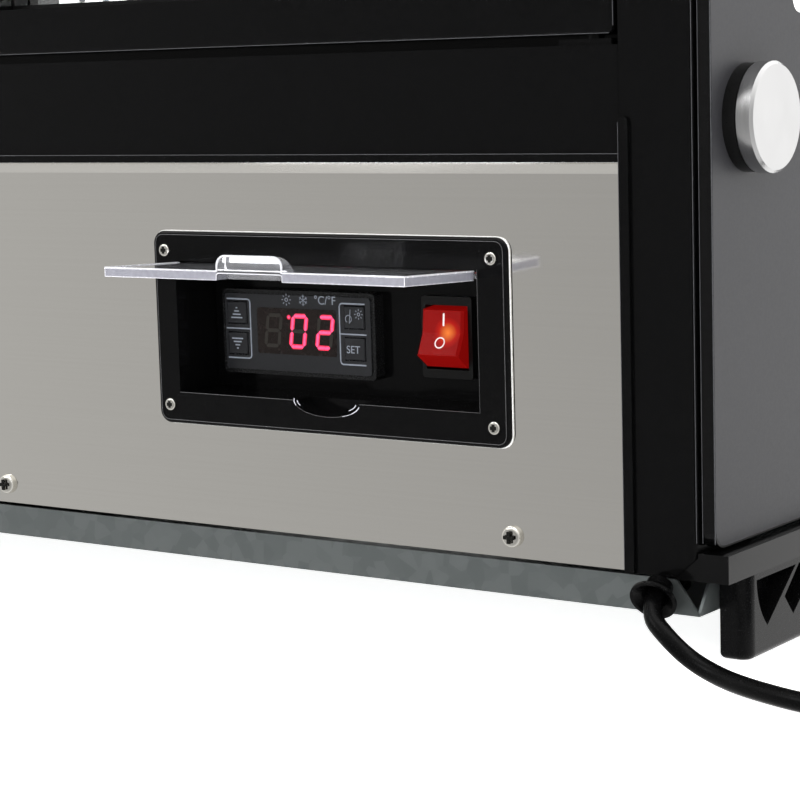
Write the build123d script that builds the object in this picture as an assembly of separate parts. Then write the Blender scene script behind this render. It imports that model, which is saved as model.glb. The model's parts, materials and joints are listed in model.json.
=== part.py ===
from build123d import *
import os
from math import cos, pi, radians, sin, tan

# Countertop refrigerated display cabinet, seen by its operator from the -Y side.
# Millimetres. +X is the operator's right hand, +Y runs through the cabinet to the
# customer, +Z is up. The origin is on the worktop under the middle of the cabinet's box.

# ---- driving dimensions -------------------------------------------------------------
REAR_Y = -230.0            # outer face of the stainless fascia
FRONT_Y = 276.0            # outer face of the front ledge
HALF_FASCIA = 313.8        # half width of the fascia between the corner posts
HALF_SKIN = 344.0          # half width of the base box
HALF_LEDGE = 356.4         # half width over the side ledges
FLOOR_TOP = 20.0           # top of the base pan's floor
PAN_Z = (18.8, 31.8)
LEDGE_Z = (32.0, 42.4)
FASCIA_Z = (33.2, 183.0)
BAND_Z = (183.2, 225.0)
DECK_Z = (187.0, 225.0)
CEILING_Z = (640.0, 656.0)
COVER_Z = (656.4, 686.0)   # 686 is the cabinet's height
SHEET = 1.2                # folded sheet metal

POST_X = (314.2, 343.6)
POST_Y = (-231.0, -190.0)
SEAT_Y = -208.5            # plane that the door gaskets close on
HEADER_Z = 628.0           # underside of the rail over the doors
FLANGE_X = 284.0           # inner edge of the seat on each post

GLASS_X = (345.4, 350.4)   # side glass, 5 mm
GLASS_REAR = -229.5
GLASS_BOTTOM = 43.9
BEND_CENTRE = (60.0, 446.0)
BEND_R = 210.0             # side glass outline, above the front edge
FRONT_GLASS_R = 206.0
FRONT_GLASS_T = 6.0

KNOB_R = 20.0
KNOB_X = (356.1, 362.4)
STUD_R = 4.0
KNOBS = [(-202.0, 197.6), (-202.0, 610.0), (236.0, 197.6), (29.0, 610.0)]

DOOR_X = (1.2, 311.7)
DOOR_Y = (-230.0, -216.0)
DOOR_Z = (228.7, 624.4)
DOOR_RAIL = 19.2
DOOR_STILE = 8.0           # width of the free stile
DOOR_PIN = (300.7, -223.0)
PIN_R = 3.0
RUNNING = 0.05             # radial clearance of a running fit

CONTROL_X = 179.1          # middle of the control bezel
CONTROL_Z = 115.1
BEZEL = (173.2, 79.9)
OPENING_X = (104.1, 252.5)
OPENING_Z = (88.3, 142.8)
SCOOP_X = 179.7
POCKET_Y = -207.0          # front face of the pocket's back plate
BEZEL_FRONT = -232.5
LID_AXIS = (-227.5, 140.1)
LID_TILT = 2.2             # the open lid's front edge stands a little high
LID_X = (104.8, 249.8)
LID_T = 3.4
LID_REACH = 48.5
BUMP_X = (162.0, 193.4)
BUMP_RISE = 5.9
KEY_X = (120.8, 180.9)
KEY_Z = (107.4, 120.2)
KEY = (10.0, 9.0)
CONTROLLER = ((112.5, 190.5), (95.0, 130.0))
ROCKER = (222.6, 113.4)
ROCKER_AXIS_Y = -205.5
ROCKER_TILT = 15.0
ROCKER_HALF = (9.7, 12.3)   # half width and half height of the rocker

BEZEL_SCREWS = (160.1, 64.1)
FASCIA_SCREW_X = (-264.5, 0.0, 264.5)
FASCIA_SCREW_Z = 41.4

SHELF_Z = (352.0, 486.0)
SHELF_FRONT = (150.0, 120.0)
EVAPORATOR_FAN = (230.0, 182.0, 259.0)
CONDENSER_FAN = (150.0, 188.0, 102.0)
COMPRESSOR = (-170.0, -40.0)
SHAFT_R = 2.0              # fan motor shafts

FOOT_X = (344.3, 356.0)
FOOT_LENGTH = 140.0
FEET_Y = {"rear": -215.0, "front": 110.0}

GLAND = (327.8, 27.0)      # X and Z of the mains lead's bush in the pan wall
GLAND_NECK_R = 4.6
GLAND_MOUTH = Vector(330.0, -239.5, 25.2)
GLAND_DIR = Vector(0.10, -0.85, -0.52).normalized()
CORD_D = 7.0
SOCKET = 6.5               # depth of the bush's socket, where the lead starts
COIL_CENTRE = (448.0, -228.5)
COIL_R = (31.0, 45.0)
COIL_H = 21.6
PLUG_ANGLE = 30.0          # where round the coil the lead leaves for its plug
PLUG_Z = 18.0
TAIL = 29.0                # lead between the coil's last turn and the plug's boot


# ---- helpers ------------------------------------------------------------------------
def block(x, y, z):
    """A box between (low, high) pairs."""
    size = [high - low for low, high in (x, y, z)]
    middle = [(high + low) / 2 for low, high in (x, y, z)]
    return Pos(*middle) * Box(*size)


def along_x(sketch, x0, x1):
    """A sketch of (Y, Z) drawn out between two X planes."""
    return extrude(Plane.YZ.offset(x0) * sketch, amount=x1 - x0)


def along_y(sketch, y0, y1):
    """A sketch of (X, Z) drawn out between two Y planes."""
    return extrude(Plane.XZ.offset(-y0) * sketch, amount=y0 - y1)


def along_z(sketch, z0, z1):
    """A sketch of (X, Y) drawn out between two Z planes."""
    return extrude(Plane.XY.offset(z0) * sketch, amount=z1 - z0)


def disc(u, v, r):
    return Pos(u, v) * Circle(r)


def rounded(u, v, r):
    """A rounded rectangle between two (low, high) pairs."""
    return Pos((u[0] + u[1]) / 2, (v[0] + v[1]) / 2) * RectangleRounded(u[1] - u[0], v[1] - v[0], r)


def outline(*points):
    return make_face(Polyline(*points, close=True))


def other_hand(shape):
    return mirror(shape, Plane.YZ)


def joined(shapes):
    """Separate solids kept apart in one node."""
    return Compound(children=[solid for shape in shapes for solid in shape.solids()])


def ring(outer_x, outer_z, inner_x, inner_z, y, r=2.5):
    frame = along_y(rounded(outer_x, outer_z, r), *y)
    return frame - along_y(Pos(sum(inner_x) / 2, sum(inner_z) / 2)
                           * Rectangle(inner_x[1] - inner_x[0], inner_z[1] - inner_z[0]), *y)


# ---- base box -----------------------------------------------------------------------
def base_pan():
    """Galvanised tray with upturned walls whose ends are cut back at the corners."""
    front = 262.0
    low, high = PAN_Z
    cut = 9.4
    floor = block((-HALF_SKIN, HALF_SKIN), (REAR_Y, front), (low, FLOOR_TOP))
    x = HALF_SKIN
    long_wall = outline((-x, low), (x, low), (x - cut, high), (cut - x, high))
    short_wall = outline((REAR_Y, low), (front, low), (front - cut, high), (REAR_Y + cut, high))
    pan = floor + along_y(long_wall, REAR_Y, REAR_Y + SHEET) + along_y(long_wall, front - SHEET, front)
    for side in (-1, 1):
        x = sorted((side * HALF_SKIN, side * (HALF_SKIN - SHEET)))
        pan += along_x(short_wall, *x)
    return pan - along_y(disc(*GLAND, GLAND_NECK_R), REAR_Y - 1, REAR_Y + 3)


def rear_fascia():
    """Stainless sheet: top hem leaning back, bottom return, cut-out for the control pocket."""
    low, high = FASCIA_Z
    t = 0.8
    hem = 4.3
    face = REAR_Y
    profile = outline((face, low), (face, high - hem), (face + 1.0, high), (face + 1.0 + t, high),
                      (face + t, high - hem), (face + t, low + t), (face + 12, low + t), (face + 12, low))
    sheet = along_x(profile, -HALF_FASCIA, HALF_FASCIA)
    cut = (REAR_Y - 1, REAR_Y + 1.2)
    clear = 2.2
    (x0, x1), (z0, z1) = OPENING_X, OPENING_Z
    sheet -= block((x0 - clear, x1 + clear), cut, (z0 - clear, z1 + clear))
    sheet -= block((SCOOP_X - 18.4, SCOOP_X + 18.4), cut, (z0 - 8.2, z0))
    for x, z in bezel_screw_places():
        sheet -= along_y(disc(x, z, 1.6), *cut)
    for x in FASCIA_SCREW_X:
        sheet -= along_y(disc(x, FASCIA_SCREW_Z, 2.1), *cut)
    return sheet


def front_apron():
    """Customer-side sheet with two louvred vents and the channel that the front glass stands on."""
    y = (264.5, 266.0)
    sheet = block((-343.6, 343.6), y, (LEDGE_Z[1] + 0.2, 189.5))
    sheet += block((-343.6, 343.6), (259.0, 266.0), (188.0, 189.5))
    for centre in (-150.0, 150.0):
        for row in range(9):
            slot = rounded((centre - 90, centre + 90), (62.0 + 12 * row, 67.0 + 12 * row), 2.4)
            sheet -= along_y(slot, y[0] - 1, y[1] + 1)
    return sheet


def machine_side():
    return block((HALF_SKIN - SHEET, HALF_SKIN), (-189.8, 258.0), (32.4, 186.8))


def corner_post():
    """Gloss black post with the flange that the gaskets close on; its foot is mitred."""
    low, high = LEDGE_Z[0] + 0.7, CEILING_Z[1]
    body = block(POST_X, POST_Y, (low, high))
    body = chamfer(body.edges().filter_by(Axis.Z).sort_by(Axis.Y)[:2].sort_by(Axis.X)[-1], 1.2)
    body += block((FLANGE_X, POST_X[0]), (SEAT_Y, POST_Y[1]), (BAND_Z[1] + 0.3, HEADER_Z))
    body -= along_y(outline((333.0, 31.0), (345.6, 42.2), (345.6, 31.0)), POST_Y[0] - 1, POST_Y[1] + 1)
    for y, z in KNOBS[:2]:
        body -= along_x(disc(y, z, STUD_R + 0.1), 328.5, POST_X[1] + 1)
    return body


def trim_strip():
    """Raised bead between the fascia and a post, rounded at its top."""
    face = rounded((314.4, 318.4), (20.0, 199.3), 1.9)
    strip = along_y(face, POST_Y[0] - 1.5, POST_Y[0])
    return strip & block((310, 320), (-240, -220), (LEDGE_Z[0] + 0.7, 210))


def side_ledge():
    """Ledge under the side glass; its rear end is mitred into the post, its front end at 45 degrees."""
    bar = block((344.2, HALF_LEDGE), (POST_Y[0], FRONT_Y), LEDGE_Z)
    bar += along_y(outline((334.5, 32.0), (344.2, 32.0), (344.2, 40.6)), *POST_Y)
    corner = outline((344.0, 263.6), (356.6, 276.2), (344.0, 276.2))
    return bar - along_z(corner, 30.0, 45.0)


def front_ledge():
    run = outline((-356.1, FRONT_Y), (356.1, FRONT_Y), (344.3, 264.2), (-344.3, 264.2))
    return along_z(run, *LEDGE_Z)


def foot(y0):
    """Moulded foot: rounded end, and a truss of triangular pockets in its outer face."""
    y1 = y0 + FOOT_LENGTH
    body = block(FOOT_X, (y0, y1), (0.0, LEDGE_Z[0]))
    body = fillet(body.edges().filter_by(Axis.Z).filter_by(lambda e: e.center().X > 350), 5.0)
    body = fillet(body.edges().filter_by(Axis.Y).filter_by(lambda e: e.center().Z < 1), 2.6)
    skin = FOOT_X[1] - 8.0
    top = 29.5
    first = make_face(Polyline((y0 + 15, 11), (y0 + 39, top), (y0 + 6.5, top))
                      + ThreePointArc((y0 + 6.5, top), (y0 + 8.8, 19.5), (y0 + 15, 11)))
    body -= along_x(first, skin, FOOT_X[1] + 1)
    for step in range(4):
        y = y0 + 36.5 + 23 * step
        pocket = outline((y, 11), (y + 24.3, top), (y + 5.0, top), (y - 7.2, 19.0))
        body -= along_x(pocket, skin, FOOT_X[1] + 1)
    return body


def rear_band():
    """Black plastic strip over the fascia with a proud lower lip."""
    low, high = BAND_Z
    profile = outline((-231.4, low), (-231.4, low + 2.8), (-230.5, low + 2.8), (-230.5, high),
                      (-190.2, high), (-190.2, high - 2.5), (-227.5, high - 2.5), (-227.5, low))
    return along_x(profile, -HALF_FASCIA, HALF_FASCIA)


def deck():
    """Insulated display floor."""
    slab = block((-HALF_SKIN, HALF_SKIN), (-189.8, 258.4), DECK_Z)
    for side in (-1, 1):
        for y, z in KNOBS[2:3]:
            x = sorted((side * 328.5, side * 345.0))
            slab -= along_x(disc(y, z, STUD_R + 0.1), *x)
    return slab


def door_surround():
    """Sill, header and middle bar: one welded frame that the gaskets close on."""
    half = FLANGE_X - 0.2
    y = (SEAT_Y, POST_Y[1])
    frame = block((-half, half), y, (BAND_Z[1], 247.0))
    frame += block((-half, half), y, (602.0, HEADER_Z))
    frame += block((-8.6, 8.6), y, (247.0, 602.0))
    return frame + block((-HALF_FASCIA, HALF_FASCIA), POST_Y, (HEADER_Z, CEILING_Z[1]))


def ceiling_panel():
    return block((-343.2, 343.2), (-189.8, 58.0), CEILING_Z)


def top_cover():
    """Pressed lid over the lamp wiring, open underneath."""
    x, y = 351.0, (-231.0, 72.0)
    cover = block((-x, x), y, COVER_Z)
    cover = fillet(cover.edges().filter_by(Axis.Z), 6.0)
    cover = fillet(cover.edges().group_by(Axis.Z)[-1], 4.0)
    inner = block((-x + 2, x - 2), (y[0] + 2, y[1] - 2), (COVER_Z[0] - 1, COVER_Z[1] - 2))
    return cover - fillet(inner.edges().filter_by(Axis.Z), 4.0)


# ---- glass --------------------------------------------------------------------------
def side_glass():
    y, z = BEND_CENTRE
    path = FilletPolyline((y + BEND_R, z), (y + BEND_R, GLASS_BOTTOM), (GLASS_REAR, GLASS_BOTTOM),
                          (GLASS_REAR, z + BEND_R), (y, z + BEND_R), radius=9.0)
    pane = along_x(make_face(path + CenterArc((y, z, 0), BEND_R, 0, 90)), *GLASS_X)
    for place in KNOBS:
        pane -= along_x(disc(*place, 6.0), GLASS_X[0] - 1, GLASS_X[1] + 1)
    return pane


def front_glass():
    y, z = BEND_CENTRE
    r, t, foot_z = FRONT_GLASS_R, FRONT_GLASS_T, 189.5
    edge = Polyline((y + r - t, z), (y + r - t, foot_z), (y + r, foot_z), (y + r, z))
    edge += CenterArc((y, z, 0), r, 0, 90)
    edge += Line((y, z + r), (y, z + r - t))
    edge += CenterArc((y, z, 0), r - t, 0, 90)
    return along_x(make_face(edge), -343.2, 343.2)


def standoff_washer(y, z):
    return along_x(disc(y, z, 19.6) - disc(y, z, STUD_R + 0.2), GLASS_X[1], 355.4)


def standoff_cap(y, z):
    """Stainless button with a chamfered rim, on the stud that holds the glass."""
    cap = along_x(disc(y, z, KNOB_R), *KNOB_X)
    cap = chamfer(cap.edges().group_by(Axis.X)[-1], 1.1)
    return cap + along_x(disc(y, z, 17.0), 355.4, KNOB_X[0]) + along_x(disc(y, z, STUD_R), 330.0, 355.4)


# ---- rear doors (right hand; the left is its mirror) ------------------------------------
def door_frame():
    window_x = (DOOR_X[0] + DOOR_STILE, DOOR_X[1] - DOOR_RAIL)
    window_z = (DOOR_Z[0] + DOOR_RAIL, DOOR_Z[1] - DOOR_RAIL)
    frame = along_y(rounded(DOOR_X, DOOR_Z, 3.0), *DOOR_Y)
    outer = frame.edges().filter_by(lambda e: e.center().Y < DOOR_Y[0] + 0.01)
    frame = fillet(outer, 1.8)
    frame -= block(window_x, (DOOR_Y[0] - 1, DOOR_Y[1] + 1), window_z)
    rabbet = 5.0
    frame -= block((window_x[0] - rabbet, window_x[1] + rabbet), (DOOR_Y[1] - 4.5, DOOR_Y[1] + 1),
                   (window_z[0] - rabbet, window_z[1] + rabbet))
    for z in ((DOOR_Z[0] - 1, DOOR_Z[0] + 10), (DOOR_Z[1] - 10, DOOR_Z[1] + 1)):
        frame -= along_z(disc(*DOOR_PIN, PIN_R + RUNNING), *z)
    return frame


def door_glass():
    inset = DOOR_RAIL - 4.8
    return block((DOOR_X[0] + DOOR_STILE - 4.8, DOOR_X[1] - inset), (DOOR_Y[1] - 4.5, DOOR_Y[1]),
                 (DOOR_Z[0] + inset, DOOR_Z[1] - inset))


def door_gasket():
    return ring((2.6, 299.8), (233.0, 620.0), (7.8, 288.0), (244.0, 608.0), (DOOR_Y[1], SEAT_Y - 0.3))


def door_handle():
    """Bow handle on the free stile."""
    x = DOOR_X[0] + DOOR_STILE / 2
    grip = rounded((x - 3.6, x + 3.6), (400.0, 520.0), 3.4)
    bow = along_y(grip, DOOR_Y[0] - 22, DOOR_Y[0])
    gap = make_face(FilletPolyline((DOOR_Y[0] - 14, 414), (DOOR_Y[0] - 14, 506), (DOOR_Y[0] + 9, 506),
                                   (DOOR_Y[0] + 9, 414), radius=8, close=True))
    bow = fillet(bow.edges().filter_by(lambda e: e.center().Y < DOOR_Y[0] - 21.9), 1.5)
    return bow - along_x(gap, x - 10, x + 10)


def door_hinges():
    """Lower and upper hinge plates with their pins."""
    x, y = DOOR_PIN
    plates = []
    for z_plate, z_pin in (((225.0, 227.2), (227.2, 237.7)), ((625.9, HEADER_Z), (615.4, 625.9))):
        plate = block((x - 12, x + 10), (-229.5, -216.5), z_plate)
        plates.append(plate + along_z(disc(x, y, PIN_R), *z_pin))
    return plates


# ---- inside the display -------------------------------------------------------------
def wire_shelf(z, front):
    """Chromed grid: round border and cross bars, with thin wires laid over them."""
    x, back = 316.0, -182.0
    r_side, r_bar, r_wire = 3.3, 3.0, 1.5
    bar_end = x - r_side + 1
    y = (back - 4, front + 4)
    shelf = None
    for n in range(4):
        bar = along_x(disc(back + (front - back) * n / 3, z, r_bar), -bar_end, bar_end)
        shelf = bar if shelf is None else shelf + bar
    for side in (-1, 1):
        shelf += along_y(disc(side * (x - r_side), z, r_side), *y)
    wires = 24
    for n in range(1, wires):
        shelf += along_y(disc(-x + 2 * x * n / wires, z + r_bar + 0.4, r_wire), *y)
    return shelf


def shelf_uprights():
    """Rear strips and front posts, each with an arm under either shelf."""
    strip = block((318.5, 331.5), (-189.8, -186.8), (DECK_Z[1], CEILING_Z[0]))
    post = block((325.6, 343.2), (20.0, 38.0), (DECK_Z[1], CEILING_Z[0]))
    post -= along_x(disc(*KNOBS[3], STUD_R + 0.1), 328.5, 345.0)
    for z in SHELF_Z:
        strip += block((306.0, 325.0), (-187.8, -176.0), (z - 6.5, z - 3.5))
        post += block((306.0, 327.0), (23.0, 35.0), (z - 6.5, z - 3.5))
    return [strip, post, other_hand(strip), other_hand(post)]


def lamp_housing():
    """Aluminium channel under the front of the ceiling."""
    channel = block((-300.0, 300.0), (26.0, 50.0), (626.0, 640.0))
    return channel - block((-301.0, 301.0), (28.0, 48.0), (625.0, 638.0))


def lamp_diffuser():
    tube = along_x(rounded((28.2, 47.8), (624.0, 637.0), 4.0), -298.0, 298.0)
    return tube - along_x(disc(38.0, 631.0, 4.0), -299.0, 299.0)


def evaporator_cover():
    """Stainless duct along the front of the deck, slotted towards the food."""
    x, y, z = (-330.0, 330.0), (150.0, 252.0), (DECK_Z[1], 297.0)
    cover = block(x, y, z)
    cover = fillet(cover.edges().filter_by(Axis.X).group_by(Axis.Z)[-1], 6.0)
    cover -= block((x[0] + 1.2, x[1] - 1.2), (y[0] + 1.2, y[1] - 1.2), (z[0] - 1, z[1] - 1.2))
    for n in range(22):
        centre = -290.0 + 20.0 * n
        cover -= along_y(rounded((centre - 3, centre + 3), (236.0, 280.0), 2.9), y[0] - 1, y[0] + 2)
    return cover - along_y(disc(EVAPORATOR_FAN[0], EVAPORATOR_FAN[2], 27.0), y[0] - 1, y[0] + 2)


def fan(place, radius, hub, depth):
    """Axial fan of five blades turning about Y, with a blind bore for the motor's shaft."""
    blades = 5
    wheel = along_y(disc(0, 0, hub), -depth / 2, depth / 2)
    for n in range(blades):
        reach = radius - hub + 2
        blade = Pos(0, 0, hub - 2 + reach / 2) * Rot(0, 0, 32) * Box(depth * 1.1, 1.2, reach)
        wheel += Rot(0, 360 / blades * n, 0) * blade
    wheel &= along_y(disc(0, 0, radius), -depth, depth)
    wheel -= along_y(disc(0, 0, SHAFT_R + RUNNING), -depth, depth / 2 - 2)
    return Pos(*place) * wheel


def fan_frame(place, radius, y, base):
    """Square shroud on two legs, three arms across its -Y side, a motor and its shaft."""
    x, fan_y, z = place
    outer = radius + 6
    frame = along_y(rounded((x - outer, x + outer), (z - outer, z + outer), 6.0), *y)
    frame -= along_y(disc(x, z, radius + 2), y[0] - 1, y[1] + 1)
    motor_y = (y[0] - radius * 0.5, y[0] + 3)
    for n in range(3):
        bar = Rot(0, 0, 120 * n + 30) * Pos(radius / 2 + 2, 0) * Rectangle(radius + 4, 5)
        arm = along_y(bar, y[0], y[0] + 3)
        frame += Pos(x, 0, z) * arm
    frame += along_y(disc(x, z, radius * 0.34), *motor_y)
    for side in (-1, 1):
        leg_x = x + side * radius
        frame += block((leg_x - 5, leg_x + 5), y, (base, z - outer + 3))
    return frame + along_y(disc(x, z, SHAFT_R), motor_y[1], fan_y + 1)


def finned_coil(x, y, z, fins, rows, base):
    """Fins on a serpentine of tubes, with end plates that stand on the floor below."""
    coil = None
    for n in range(fins):
        centre = x[0] + 1 + (x[1] - x[0] - 2) * n / (fins - 1)
        low = base if n in (0, fins - 1) else z[0]
        fin = block((centre - 0.6, centre + 0.6), y, (low, z[1]))
        coil = fin if coil is None else coil + fin
    for n in range(rows):
        height = z[0] + (z[1] - z[0]) * (n + 0.5) / rows
        coil += along_x(disc(sum(y) / 2, height, 4.0), x[0] - 6, x[1] + 6)
    return coil


# ---- machinery ----------------------------------------------------------------------
def compressor():
    """Hermetic shell on its foot plate and four rubber-sleeved studs."""
    x, y = COMPRESSOR
    shell = Pos(x, y, 102) * Cylinder(62, 118)
    shell = fillet(shell.edges(), 26)
    plate = block((x - 95, x + 95), (y - 55, y + 55), (34, 38))
    body = shell + plate + Pos(x, y, 42) * Cylinder(45, 10)
    for dx in (-82, 82):
        for dy in (-42, 42):
            body += Pos(x + dx, y + dy, 30) * Cylinder(9, 20)
    return body


# ---- controls -----------------------------------------------------------------------
def bezel_screw_places():
    return [(CONTROL_X + sx * BEZEL_SCREWS[0] / 2, CONTROL_Z + sz * BEZEL_SCREWS[1] / 2)
            for sx in (-1, 1) for sz in (-1, 1)]


def control_bezel():
    """Moulded surround and pocket, with a thumb scoop in its lower edge."""
    wall = 1.8
    face = rounded((CONTROL_X - BEZEL[0] / 2, CONTROL_X + BEZEL[0] / 2),
                   (CONTROL_Z - BEZEL[1] / 2, CONTROL_Z + BEZEL[1] / 2), 5.5)
    body = along_y(face, BEZEL_FRONT, REAR_Y)
    body = fillet(body.edges().filter_by(lambda e: e.center().Y < BEZEL_FRONT + 0.01), 1.2)
    body += block((OPENING_X[0] - wall, OPENING_X[1] + wall), (REAR_Y, POCKET_Y + 2),
                  (OPENING_Z[0] - wall, OPENING_Z[1] + wall))
    scoop = Pos(SCOOP_X, OPENING_Z[0]) * Ellipse(16.2, 6.0)
    cup = Pos(SCOOP_X, OPENING_Z[0]) * Ellipse(16.2 + wall, 6.0 + wall)
    body += along_y(cup, REAR_Y, -220.2)
    body -= block(OPENING_X, (BEZEL_FRONT - 1, POCKET_Y), OPENING_Z)
    body -= along_y(scoop, BEZEL_FRONT - 1, -222.0)
    back = (POCKET_Y - 1, POCKET_Y + 3)
    (cx0, cx1), (cz0, cz1) = CONTROLLER
    body -= block((cx0 + 3.5, cx1 - 3.5), back, (cz0 + 3.1, cz1 - 3.1))
    body -= block((ROCKER[0] - 11.1, ROCKER[0] + 11.1), back, (ROCKER[1] - 15.2, ROCKER[1] + 15.2))
    for x, z in bezel_screw_places():
        body -= along_y(disc(x, z, 1.6), BEZEL_FRONT - 1, REAR_Y + 1)
    return body - along_x(disc(*LID_AXIS, 1.2 + RUNNING), OPENING_X[0] - 5, OPENING_X[1] + 5)


def screw(x, y, z, head_r, head_h, shank_r, length):
    """Pan-head screw standing in from the -Y side, with a cross recess."""
    head = along_y(disc(x, z, head_r), y - head_h, y)
    head = fillet(head.edges().group_by(Axis.Y)[0], head_h * 0.6)
    slot = head_r * 0.55
    for size in ((slot, 0.7), (0.7, slot)):
        depth = (y - head_h - 1, y - head_h + 1.1)
        head -= block((x - size[0], x + size[0]), depth, (z - size[1], z + size[1]))
    return head + along_y(disc(x, z, shank_r), y, y + length)


def panel_screws():
    screws = [screw(x, REAR_Y, FASCIA_SCREW_Z, 4.2, 2.4, 2.0, 9.0) for x in FASCIA_SCREW_X]
    screws += [screw(x, BEZEL_FRONT, z, 2.6, 1.4, 1.5, 9.0) for x, z in bezel_screw_places()]
    return screws


def control_lid():
    """Clear lid standing open, with hinge pins and a raised finger pull, hollow below."""
    y, z = LID_AXIS
    half = LID_T / 2
    edge = y - LID_REACH
    plate = block(LID_X, (edge, y), (z - half, z + half)) + along_x(disc(y, z, half), *LID_X)
    crest = z + half + BUMP_RISE
    outer = along_y(rounded(BUMP_X, (z - 10, crest), 3.8), edge, edge + 10)
    slope = outline((edge, z), (edge, crest), (edge + 3.0, crest), (edge + 8.2, z + half), (edge + 8.2, z))
    outer &= along_x(slope, *BUMP_X)
    hollow_x = (BUMP_X[0] - 0.3, BUMP_X[1] + 0.3)
    hollow_top = z - half + 2.7
    hollow = along_y(rounded(hollow_x, (z - 12, hollow_top), 1.2), edge - 1, edge + 7.5)
    hollow &= along_x(outline((edge - 1, z - 5), (edge - 1, hollow_top), (edge + 5.0, hollow_top),
                              (edge + 7.5, z - half), (edge + 7.5, z - 5)), *hollow_x)
    lid = plate + outer - hollow
    for x in ((LID_X[0] - 1, LID_X[0] + 2.4), (LID_X[1] - 2.4, LID_X[1] + 1)):
        lid -= block(x, (y - 3.2, y + half + 1), (z - half - 1, z + half + 1))
    lid += along_x(disc(y, z, 1.2), OPENING_X[0] - 1.5, OPENING_X[1] + 1.5)
    return lid.rotate(Axis((0, y, z), (1, 0, 0)), -LID_TILT)


def controller_body():
    """Thermostat housing: bowed face frame, and the body behind the pocket."""
    x, z = CONTROLLER
    front = POCKET_Y - 6.0
    body = along_y(rounded(x, z, 2.0), front, POCKET_Y)
    body += block((x[0] + 3.7, x[1] - 3.7), (POCKET_Y, -160.0), (z[0] + 3.3, z[1] - 3.3))
    for key_x in KEY_X:
        for key_z in KEY_Z:
            body -= key_hole(key_x, key_z, (front - 1, front + 3.7))
    return body


def key_hole(x, z, y):
    half_x, half_z = KEY[0] / 2 + 0.3, KEY[1] / 2 + 0.3
    return block((x - half_x, x + half_x), y, (z - half_z, z + half_z))


def controller_face():
    """Printed overlay with the display window, open over the keys."""
    x, z = CONTROLLER
    front = POCKET_Y - 6.0
    face = along_y(rounded((x[0] + 1.8, x[1] - 1.8), (z[0] + 1.8, z[1] - 1.8), 1.5), front - 0.6, front)
    for key_x in KEY_X:
        for key_z in KEY_Z:
            face -= key_hole(key_x, key_z, (front - 1, front + 1))
    return face


def key_cap(x, z):
    front = POCKET_Y - 6.0
    half_x, half_z = KEY[0] / 2, KEY[1] / 2
    cap = block((x - half_x, x + half_x), (front - 1.2, front + 2.5), (z - half_z, z + half_z))
    return fillet(cap.edges().group_by(Axis.Y)[0], 0.5)


def rocker_frame():
    """Switch housing with its flange on the pocket's back plate."""
    x, z = ROCKER
    half_x, half_z = ROCKER_HALF[0] + 0.3, ROCKER_HALF[1] + 0.4
    flange = along_y(rounded((x - 11.9, x + 11.9), (z - 16.2, z + 16.2), 1.2), POCKET_Y - 2.5, POCKET_Y)
    body = flange + block((x - half_x - 0.9, x + half_x + 0.9), (POCKET_Y, -186.0), (z - 15, z + 15))
    body -= block((x - half_x, x + half_x), (POCKET_Y - 3, -190.0), (z - half_z, z + half_z))
    return body - along_x(disc(ROCKER_AXIS_Y, z, 1.2 + RUNNING), x - half_x - 0.8, x + half_x + 0.8)


def rocker_paddle():
    """Dished rocker with slanted ends, drawn level and then tipped so that its upper half is pressed in."""
    x, z = ROCKER
    half, end = ROCKER_HALF
    lip = (-9.5, 8.9)
    shape = outline((lip[0], lip[1]), (-7.95, 0), (lip[0], -lip[1]), (-0.7, -end), (4, -5), (4, 5), (-0.7, end))
    paddle = along_x(shape, -half, half)
    front = paddle.edges().filter_by(lambda e: abs(abs(e.center().X) - half) < 0.01 and e.center().Y < -8.5)
    paddle = chamfer(front, 1.0)
    paddle += along_x(disc(0, 0, 1.2), -half - 0.9, half + 0.9)
    return Pos(x, ROCKER_AXIS_Y, z) * Rot(-ROCKER_TILT, 0, 0) * paddle


# ---- mains lead ---------------------------------------------------------------------
def cable_gland():
    """Rubber bush: inner tail, neck in the pan wall, and a bell mouth tipped downwards."""
    neck = along_y(disc(*GLAND, GLAND_NECK_R), REAR_Y - 1.5, REAR_Y + 3.0)
    neck += along_y(disc(*GLAND, 5.4), REAR_Y + SHEET, REAR_Y + 3.4)
    inside = Plane(origin=(GLAND[0], REAR_Y + 3.0, GLAND[1]), z_dir=(0, 1, 0))
    neck += inside * Pos(0, 0, 7) * Cone(4.6, 3.6, 14)
    bell = revolve(make_face(Polyline((0, -8.5), (5.0, -8.5), (5.4, -5.0), (8.8, -1.2), (8.8, 0), (7.6, 0),
                                      (5.2, -2.4), (3.8, -4.5), (3.8, -SOCKET), (0, -SOCKET), close=True)),
                   axis=Axis.Y)
    turn = Plane(origin=GLAND_MOUTH, x_dir=(1, 0, 0.19), z_dir=GLAND_DIR)
    return neck + turn * Rot(90, 0, 0) * bell


def lead_route():
    """Points of the lead from the gland's socket to the coil, chosen by hand."""
    start = GLAND_MOUTH - GLAND_DIR * SOCKET
    return [start,
            Vector(330.6, -244.6, 22.1),
            Vector(341.0, -249.0, 14.8),
            Vector(350.5, -249.6, 8.0),
            Vector(363.0, -252.5, 4.2),
            Vector(379.0, -259.8, 3.5),
            Vector(407.0, -269.2, 3.5),
            Vector(COIL_CENTRE[0] - 8.0, COIL_CENTRE[1] - 41.5, 3.5)]


def corner_radii(points):
    """Radius of each corner's arc: 0.45 of the shorter run over the tangent of half the turn."""
    radii = []
    for a, b, c in zip(points, points[1:], points[2:]):
        turn = radians((b - a).get_angle(c - b))
        radii.append(0.45 * min((b - a).length, (c - b).length) / tan(turn / 2))
    return radii


def tube(points, radii, r):
    path = FilletPolyline(*points, radius=radii)
    start = Plane(origin=points[0], z_dir=points[1] - points[0])
    return sweep(start * Circle(r), path=path), path.length


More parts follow.
